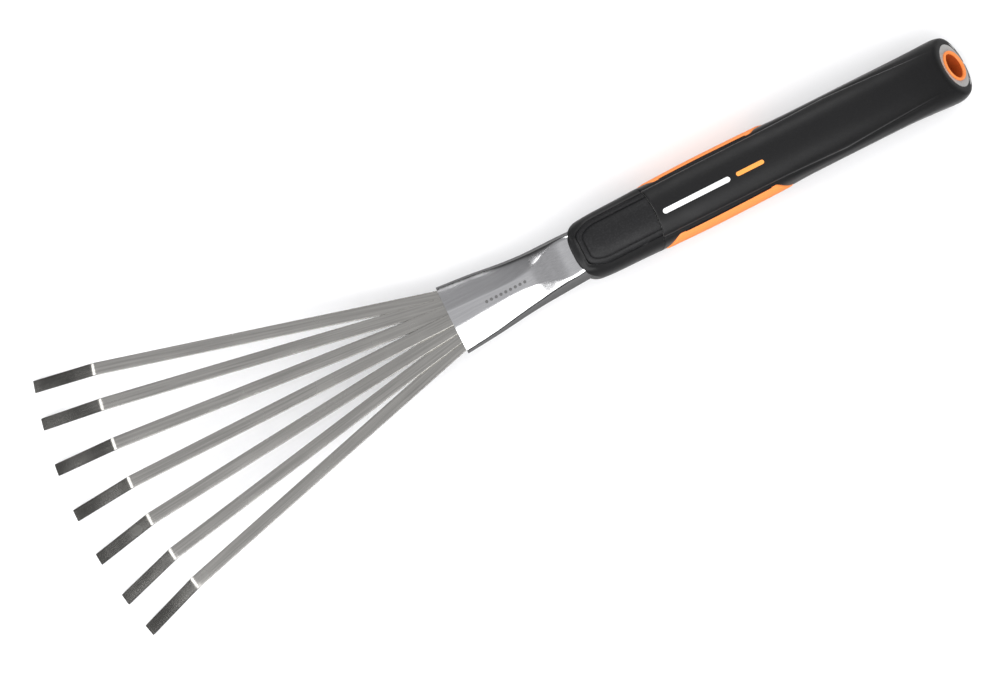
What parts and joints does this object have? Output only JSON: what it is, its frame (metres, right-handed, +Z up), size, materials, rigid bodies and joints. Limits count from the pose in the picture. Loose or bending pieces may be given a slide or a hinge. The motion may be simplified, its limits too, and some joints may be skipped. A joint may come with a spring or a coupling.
{
  "type": "hand fan rake",
  "caption": "Short-handled fan rake: flat spring-steel tines with bent tips fan out of a pressed steel tube, held in a soft-skinned grip with a hanging hole.",
  "frame": {"origin": "on the surface that the tool lies on, below the middle of its bounding box", "axes": "+X along the tool towards the hanging hole, +Y across it towards tine_1, +Z up"},
  "size_m": [0.436, 0.1252, 0.0344],
  "materials": {
    "tine_steel": "brushed along the strip",
    "tube_steel": "polished",
    "pin_steel": "turned",
    "block_nylon": "moulded",
    "core_orange": "satin moulded",
    "grip_black": "fine matte texture",
    "collar_black": "fine matte texture",
    "pad_black": "fine matte texture"
  },
  "bodies": {
    "root": {"tine_1": "tine_steel", "tine_2": "tine_steel", "tine_3": "tine_steel", "tine_4": "tine_steel", "tine_5": "tine_steel", "tine_6": "tine_steel", "tine_7": "tine_steel", "tine_block": "block_nylon", "ferrule": "tube_steel", "cross_pin": "pin_steel", "handle_core": "core_orange", "grip": "grip_black", "front_collar": "collar_black", "thumb_pad": "pad_black"}
  },
  "joints": []
}
